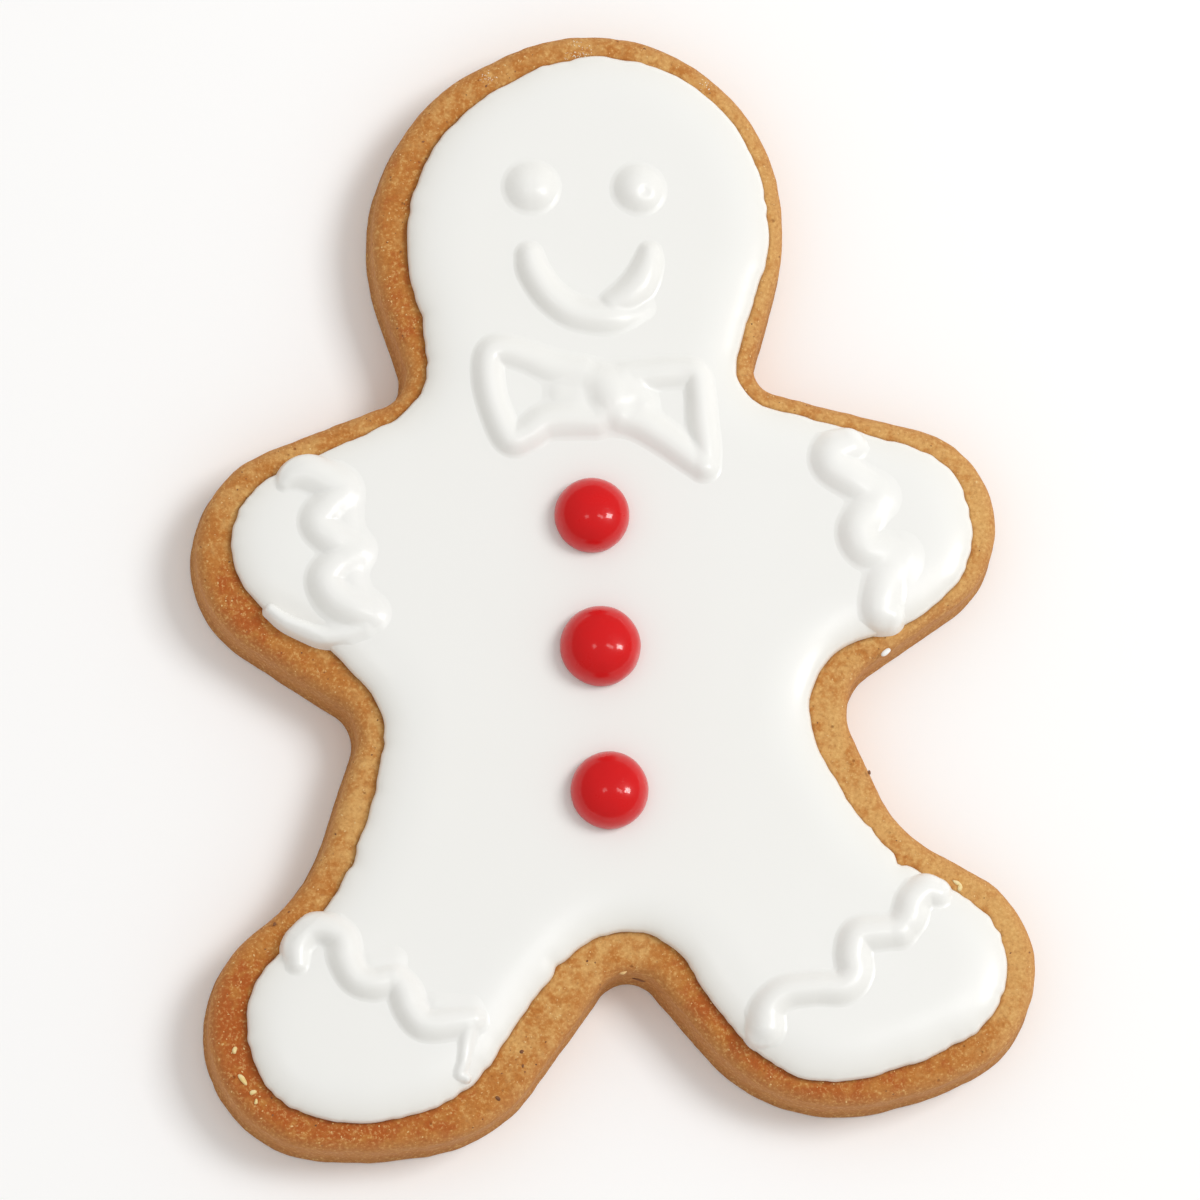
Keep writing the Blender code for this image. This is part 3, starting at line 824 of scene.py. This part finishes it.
def makePiped(node, details):
    cell = piping["cell"]
    rows = np.array([row for stroke in details["strokes"] for row in stroke])
    around = rows[:, 2].max() / 2 + piping["margin"]
    low, high = rows[:, :2].min(axis=0) - around, rows[:, :2].max(axis=0) + around
    xs, ys = np.arange(low[0], high[0], cell), np.arange(low[1], high[1], cell)
    flat = np.stack(np.meshgrid(xs, ys, indexing="ij"), axis=2).reshape(-1, 2)
    top, base = pipedSurface(flat, details)
    raised = (top - base > 0.001 - piping["sunk"]).reshape(len(xs), len(ys))
    used = raised[:-1, :-1] | raised[1:, :-1] | raised[:-1, 1:] | raised[1:, 1:]
    grown = used.copy()
    for axis, way in ((0, 1), (0, -1), (1, 1), (1, -1)):
        grown |= np.roll(used, way, axis)
    # two cells that meet only at a corner would leave an open seam there
    for _ in range(3):
        a, b, c, d = grown[:-1, :-1], grown[1:, :-1], grown[:-1, 1:], grown[1:, 1:]
        b |= a & d & ~b & ~c
        a |= b & c & ~a & ~d
    columns, count = len(ys), len(flat)
    faces = []
    for i, j in np.argwhere(grown):
        corner = i * columns + j
        corners = (corner, corner + columns, corner + columns + 1, corner + 1)
        faces.append(corners)
        faces.append(tuple(count + point for point in reversed(corners)))
        sides = (grown[i, j - 1], grown[i + 1, j], grown[i, j + 1], grown[i - 1, j])
        for side, hidden in enumerate(sides):
            if not hidden:
                p, q = corners[side], corners[(side + 1) % 4]
                faces.append((p + count, q + count, q, p))
    used = np.unique(np.array(faces).ravel())
    renumber = np.full(2 * count, -1)
    renumber[used] = np.arange(len(used))
    under = np.column_stack((flat, base - piping["depth"]))
    points = np.vstack((np.column_stack((flat, top)), under))[used]
    piece = newPiece(node + "_piped", points, renumber[np.array(faces)].tolist(), materials["royalIcing"])
    handOver(piece, node)
    return piece


for pipedNode, pipedDetails in pipedPieces.items():
    made = makePiped(pipedNode, pipedDetails)
    print("piped:", made.name, len(made.data.polygons), "faces")


def finishTree(tree, sink, geometry, material):
    whole = addNode(tree, "GeometryNodeRealizeInstances", {"Geometry": geometry})
    painted = addNode(tree, "GeometryNodeSetMaterial", {"Geometry": whole.outputs[0], "Material": material})
    setInputs(tree, sink, {0: painted.outputs[0]})
    return tree


def runTree(name, tree, source, values):
    # the tree's result on the source mesh, as a plain mesh object
    host = linkNew(name + "Host", source)
    modifier = host.modifiers.new(name, "NODES")
    modifier.node_group = tree
    for item in tree.interface.items_tree:
        if item.item_type == "SOCKET" and item.in_out == "INPUT" and item.name in values:
            modifier[item.identifier] = values[item.name]
    bpy.context.view_layer.update()
    evaluated = host.evaluated_get(bpy.context.evaluated_depsgraph_get())
    mesh = bpy.data.meshes.new_from_object(evaluated)
    bpy.data.objects.remove(host)
    mesh.name = name
    return linkNew(name, mesh)


def scaledVector(tree, vector, amount):
    return addNode(tree, "ShaderNodeVectorMath", {0: vector, "Scale": amount}, operation="SCALE").outputs[0]


def unevenBall(tree, ball, noise, middle, amount=1.0):
    # pushes a ball's points out where the noise is over its middle and in where it is under it
    place = addNode(tree, "GeometryNodeInputPosition").outputs[0]
    tree.links.new(place, noise.inputs["Vector"])
    push = mathNode(tree, "MULTIPLY", mathNode(tree, "SUBTRACT", noise.outputs["Fac"], middle), amount)
    return addNode(tree, "GeometryNodeSetPosition", {"Geometry": ball.outputs["Mesh"],
                                                     "Offset": scaledVector(tree, place, push)}).outputs[0]


def makeDropTree():
    # a sugar drop: a spheroid whose surface wanders a little
    tree, given, sink = nodeGroup("sugarDrop", "GeometryNodeTree", [
        ("Geometry", "Geometry"), ("Diameter", "Float"), ("Height", "Float"), ("Middle", "Vector"),
        ("Wobble", "Float"), ("Seed", "Float"), ("Shell", "Material")], [("Geometry", "Geometry")])
    ball = addNode(tree, "GeometryNodeMeshUVSphere", {"Segments": 96, "Rings": 60, "Radius": 0.5})
    noise = addNode(tree, "ShaderNodeTexNoise", {"Scale": 2.6, "Detail": 1.0, "W": given["Seed"]},
                    noise_dimensions="4D")
    uneven = unevenBall(tree, ball, noise, 0.5, given["Wobble"])
    diameter = given["Diameter"]
    size = addNode(tree, "ShaderNodeCombineXYZ", {0: diameter, 1: diameter, 2: given["Height"]})
    placed = addNode(tree, "GeometryNodeTransform", {"Geometry": uneven, "Scale": size.outputs[0],
                                                     "Translation": given["Middle"]})
    smooth = addNode(tree, "GeometryNodeSetShadeSmooth", {"Geometry": placed.outputs[0]})
    return finishTree(tree, sink, smooth.outputs[0], given["Shell"])


def makeScatterTree():
    # grains strewn where the surface's named attribute says, each turned and sized at random
    tree, given, sink = nodeGroup("scatteredGrains", "GeometryNodeTree", [
        ("Geometry", "Geometry"), ("Where", "String"), ("Per Square Metre", "Float"), ("Seed", "Int"),
        ("Smallest", "Float"), ("Largest", "Float"), ("Flatness", "Float"), ("Grain", "Material")],
        [("Geometry", "Geometry")])
    where = addNode(tree, "GeometryNodeInputNamedAttribute", {"Name": given["Where"]},
                    data_type="FLOAT")
    density = mathNode(tree, "MULTIPLY", where.outputs["Attribute"], given["Per Square Metre"])
    points = addNode(tree, "GeometryNodeDistributePointsOnFaces", {
        "Mesh": given["Geometry"], "Density": density, "Seed": given["Seed"]})
    ball = addNode(tree, "GeometryNodeMeshIcoSphere", {"Radius": 1.0, "Subdivisions": 2})
    noise = addNode(tree, "ShaderNodeTexNoise", {"Scale": 1.3, "Detail": 0.0})
    uneven = unevenBall(tree, ball, noise, 0.6)
    size = addNode(tree, "FunctionNodeRandomValue", {
        2: given["Smallest"], 3: given["Largest"], 8: given["Seed"]},
        data_type="FLOAT")
    stretch = addNode(tree, "FunctionNodeRandomValue", {0: (0.65, 0.5, 1.0), 1: (1.5, 0.9, 1.0), 8: 5},
                      data_type="FLOAT_VECTOR")
    flat = addNode(tree, "ShaderNodeCombineXYZ", {0: 1.0, 1: 1.0, 2: given["Flatness"]})
    shape = addNode(tree, "ShaderNodeVectorMath", {0: stretch.outputs[0], 1: flat.outputs[0]},
                    operation="MULTIPLY")
    grains = addNode(tree, "GeometryNodeInstanceOnPoints", {
        "Points": points.outputs["Points"], "Instance": uneven, "Rotation": points.outputs["Rotation"],
        "Scale": scaledVector(tree, shape.outputs[0], size.outputs[1])})
    spin = addNode(tree, "FunctionNodeRandomValue", {0: (-0.3, -0.3, 0.0), 1: (0.3, 0.3, 6.28), 8: 9},
                   data_type="FLOAT_VECTOR")
    turned = addNode(tree, "GeometryNodeRotateInstances", {
        "Instances": grains.outputs[0], "Rotation": spin.outputs[0], "Local Space": True})
    return finishTree(tree, sink, turned.outputs[0], given["Grain"])


sugarDrops = {
    "button_top": {"wobble": 0.035, "seed": 1.7},
    "button_middle": {"wobble": 0.035, "seed": 4.2},
    "button_bottom": {"wobble": 0.03, "seed": 7.9},
}
dropRatio = 0.90             # height of the whole drop over its diameter, part of it in the icing
dropTree = makeDropTree()
emptyMesh = bpy.data.meshes.new("empty")
for dropNode, dropDetails in sugarDrops.items():
    low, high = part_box(dropNode)
    diameter = high.x - low.x
    made = runTree(dropNode + "_shell", dropTree, emptyMesh, {
        "Diameter": diameter, "Height": diameter * dropRatio,
        "Middle": ((low.x + high.x) / 2, (low.y + high.y) / 2, high.z - diameter * dropRatio / 2),
        "Wobble": dropDetails["wobble"], "Seed": dropDetails["seed"], "Shell": materials["redSugarShell"]})
    handOver(made, dropNode)
    print("drop:", made.name, len(made.data.polygons), "faces")

scattered = {
    "rim_crumbs_pale": {"where": "crumbs", "perSquareMm": 0.55, "seed": 3, "smallest": 0.05, "largest": 0.11,
                        "flatness": 0.5, "material": "paleCrumb"},
    "rim_spice_flecks": {"where": "crumbs", "perSquareMm": 0.12, "seed": 8, "smallest": 0.05, "largest": 0.12,
                         "flatness": 0.35, "material": "spiceFleck"},
    "rim_flour": {"where": "flour", "perSquareMm": 26, "seed": 5, "smallest": 0.03, "largest": 0.08,
                  "flatness": 0.5, "material": "flourDust"},
}
scatterTree = makeScatterTree()
for scatterName, details in scattered.items():
    made = runTree(scatterName, scatterTree, biscuitPiece.data, {
        "Where": details["where"], "Per Square Metre": details["perSquareMm"] / mm ** 2,
        "Seed": details["seed"], "Smallest": details["smallest"] * mm, "Largest": details["largest"] * mm,
        "Flatness": details["flatness"], "Grain": materials[details["material"]]})
    handOver(made)
    print("scattered:", made.name, len(made.data.polygons), "faces")

# Single things on the rim: x, y, depth below the top, half length, half width, half height, turn in degrees
looseBits = {
    "yellow_flakes": {"material": "yellowFlake", "slot": "biscuit", "bits": [
        (-36.5, -42.8, 0, 0.42, 0.22, 0.20, 60), (-35.9, -45.6, 0, 0.60, 0.22, 0.22, 115),
        (-35.0, -46.8, 0, 0.30, 0.22, 0.18, 10), (-34.8, -47.7, 0, 0.25, 0.18, 0.16, 70),
        (31.9, -30.0, 0, 0.50, 0.20, 0.20, 150), (32.1, -30.4, 0, 0.38, 0.20, 0.20, 70)]},
    "spice_specks": {"material": "spiceFleck", "slot": "biscuit", "bits": [
        (-9.9, -44.1, 0, 0.26, 0.17, 0.08, 20), (-9.8, -45.4, 0, 0.18, 0.13, 0.08, 80),
        (-12.3, -48.4, 0, 0.22, 0.15, 0.08, 140), (-32.2, -31.2, 0, 0.22, 0.16, 0.08, 30),
        (24.3, -19.1, 0, 0.20, 0.15, 0.08, 100), (1.9, -37.2, 4.2, 0.70, 0.16, 0.30, -18)]},
    "pale_crumb": {"material": "paleCrumb", "slot": "biscuit", "bits": [
        (0.1, -36.95, 0.9, 0.45, 0.20, 0.28, 10), (-0.9, -37.1, 1.6, 0.30, 0.15, 0.20, 20)]},
    "icing_droplet": {"material": "royalIcing", "slot": "icing", "bits": [
        (26.5, -7.8, 0, 0.50, 0.27, 0.20, 30)]},
}
bitsWander = 0.12


def makeBits(name, details):
    # flattened balls whose surface wanders a little
    points, faces = [], []
    around, levels = 20, 7
    for x, y, depth, long, wide, high, turn in details["bits"]:
        angle, middle, first = math.radians(turn), biscuitTop - depth, len(points)
        for level in range(1, levels):
            slope = math.pi * level / levels - math.pi / 2
            for step in range(around):
                way = 2 * math.pi * step / around
                u, v = math.cos(slope) * math.cos(way) * long, math.cos(slope) * math.sin(way) * wide
                points.append((x + u * math.cos(angle) - v * math.sin(angle),
                               y + u * math.sin(angle) + v * math.cos(angle),
                               middle + math.sin(slope) * high))
        faces += ringFaces(around, levels - 1, first)
        last = first + (levels - 2) * around
        points += [(x, y, middle - high), (x, y, middle + high)]
        for step in range(around):
            after = (step + 1) % around
            faces.append((first + after, first + step, len(points) - 2))
            faces.append((last + step, last + after, len(points) - 1))
    points = np.array(points)
    points[:, :2] += bitsWander * np.stack((lumps(points, 0.5, 21), lumps(points, 0.5, 22)), axis=1)
    piece = newPiece(name, points, faces, materials[details["material"]])
    handOver(piece)
    return piece


for bitsName, bitsDetails in looseBits.items():
    made = makeBits(bitsName, bitsDetails)
    print("small things:", made.name)

handOver(biscuitPiece, "biscuit")
handOver(icingPiece, "icing")

studio = {
    "floorColour": (0.99, 0.99, 0.99),
    "floorHalf": 2000,
    "roomLight": 0.675,
    "roomGloss": 0.11,        # the same room as shiny surfaces see it
    "roomZenith": (1.0, 1.0, 1.0),
    "roomHorizon": (1.0, 0.935, 0.82),
    "zenithFrom": 0.75,       # how high up the room has its upper colour
    # soft light that leaves no mirror image: direction to the right, up and towards the camera,
    # distance and side length in mm, watts
    "softLight": (0.62, 0.36, 0.70, 820, 320, 2.9),
    # three windows that only glint in shiny surfaces: direction to the right, up and towards the
    # camera, size across and along the way down to the table in mm, watts
    "windows": {
        "windowNear": (0.776, 0.03, 0.63, 84, 130, 0.80),
        "windowMiddle": (0.429, 0.03, 0.903, 55, 130, 0.14),
        "windowFar": (-0.199, 0.03, 0.98, 60, 70, 0.055),
    },
    "windowDistance": 450,
}


def makeFloor():
    half = studio["floorHalf"] * mm
    mesh = bpy.data.meshes.new("studioFloor")
    corners = [(-half, -half, 0), (half, -half, 0), (half, half, 0), (-half, half, 0)]
    mesh.from_pydata(corners, [], [(0, 1, 2, 3)])
    material, tree, shader, _ = newMaterial("floorPaint", studio["floorColour"])
    setInputs(tree, shader, {"Base Color": (*studio["floorColour"], 1), "Roughness": 0.9,
                             "Specular IOR Level": 0.1})
    mesh.materials.append(material)
    linkNew("studioFloor", mesh)


cameraPlace = {"azimuth": 25.0, "elevation": 78.0, "roll": 3.25, "distance": 900.0, "lens": 285.5,
               "right": 0.45, "up": -0.44}


def cameraAxes():
    # the camera's right, its up and the way back to it
    azimuth, elevation = math.radians(cameraPlace["azimuth"]), math.radians(cameraPlace["elevation"])
    back = Vector((-math.cos(elevation) * math.sin(azimuth), -math.cos(elevation) * math.cos(azimuth),
                   math.sin(elevation)))
    right = (-back).cross(Vector((0, 1, 0))).normalized()
    up = right.cross(-back)
    roll = math.radians(cameraPlace["roll"])
    return (right * math.cos(roll) - up * math.sin(roll), right * math.sin(roll) + up * math.cos(roll), back)


def addLight(name, place, wide, high, watts):
    data = bpy.data.lights.new(name, "AREA")
    data.shape = "RECTANGLE"
    data.size, data.size_y = wide * mm, high * mm
    data.energy = watts
    lamp = linkNew(name, data)
    lamp.location = place
    lamp.rotation_euler = place.to_track_quat("Z", "Y").to_euler()
    return lamp


def makeLights():
    across, upward, back = cameraAxes()
    right, up, out, distance, side, watts = studio["softLight"]
    way = (across * right + upward * up + back * out).normalized()
    lamp = addLight("softLight", way * distance * mm, side, side, watts)
    lamp.visible_glossy = False
    for name, (right, up, out, wide, high, watts) in studio["windows"].items():
        way = (across * right + upward * up + back * out).normalized()
        lamp = addLight(name, way * studio["windowDistance"] * mm, wide, high, watts)
        lamp.visible_diffuse = False
    world = bpy.data.worlds.new("softRoom")
    world.use_nodes = True
    tree = world.node_tree
    glossy = addNode(tree, "ShaderNodeLightPath").outputs["Is Glossy Ray"]
    dimmer = mathNode(tree, "MULTIPLY", glossy, studio["roomGloss"] - studio["roomLight"])
    direction = addNode(tree, "ShaderNodeTexCoord").outputs["Generated"]
    height = addNode(tree, "ShaderNodeSeparateXYZ", {0: direction}).outputs["Z"]
    setInputs(tree, tree.nodes["Background"], {
        "Color": mixColour(tree, remap(tree, height, 0.0, studio["zenithFrom"]), studio["roomHorizon"],
                           studio["roomZenith"]),
        "Strength": mathNode(tree, "ADD", dimmer, studio["roomLight"])})
    bpy.context.scene.world = world


def makeCamera():
    across, upward, back = cameraAxes()
    place = (back * cameraPlace["distance"] + across * cameraPlace["right"] + upward * cameraPlace["up"]) * mm
    data = bpy.data.cameras.new("camera")
    data.sensor_width = 36
    data.lens = cameraPlace["lens"]
    data.clip_start, data.clip_end = 0.01, 20
    camera = linkNew("camera", data)
    camera.matrix_world = Matrix.Translation(place) @ Matrix((across, upward, back)).transposed().to_4x4()
    bpy.context.scene.camera = camera


makeFloor()
makeLights()
makeCamera()
bpy.context.scene.view_settings.view_transform = "Standard"
print("studio ready")
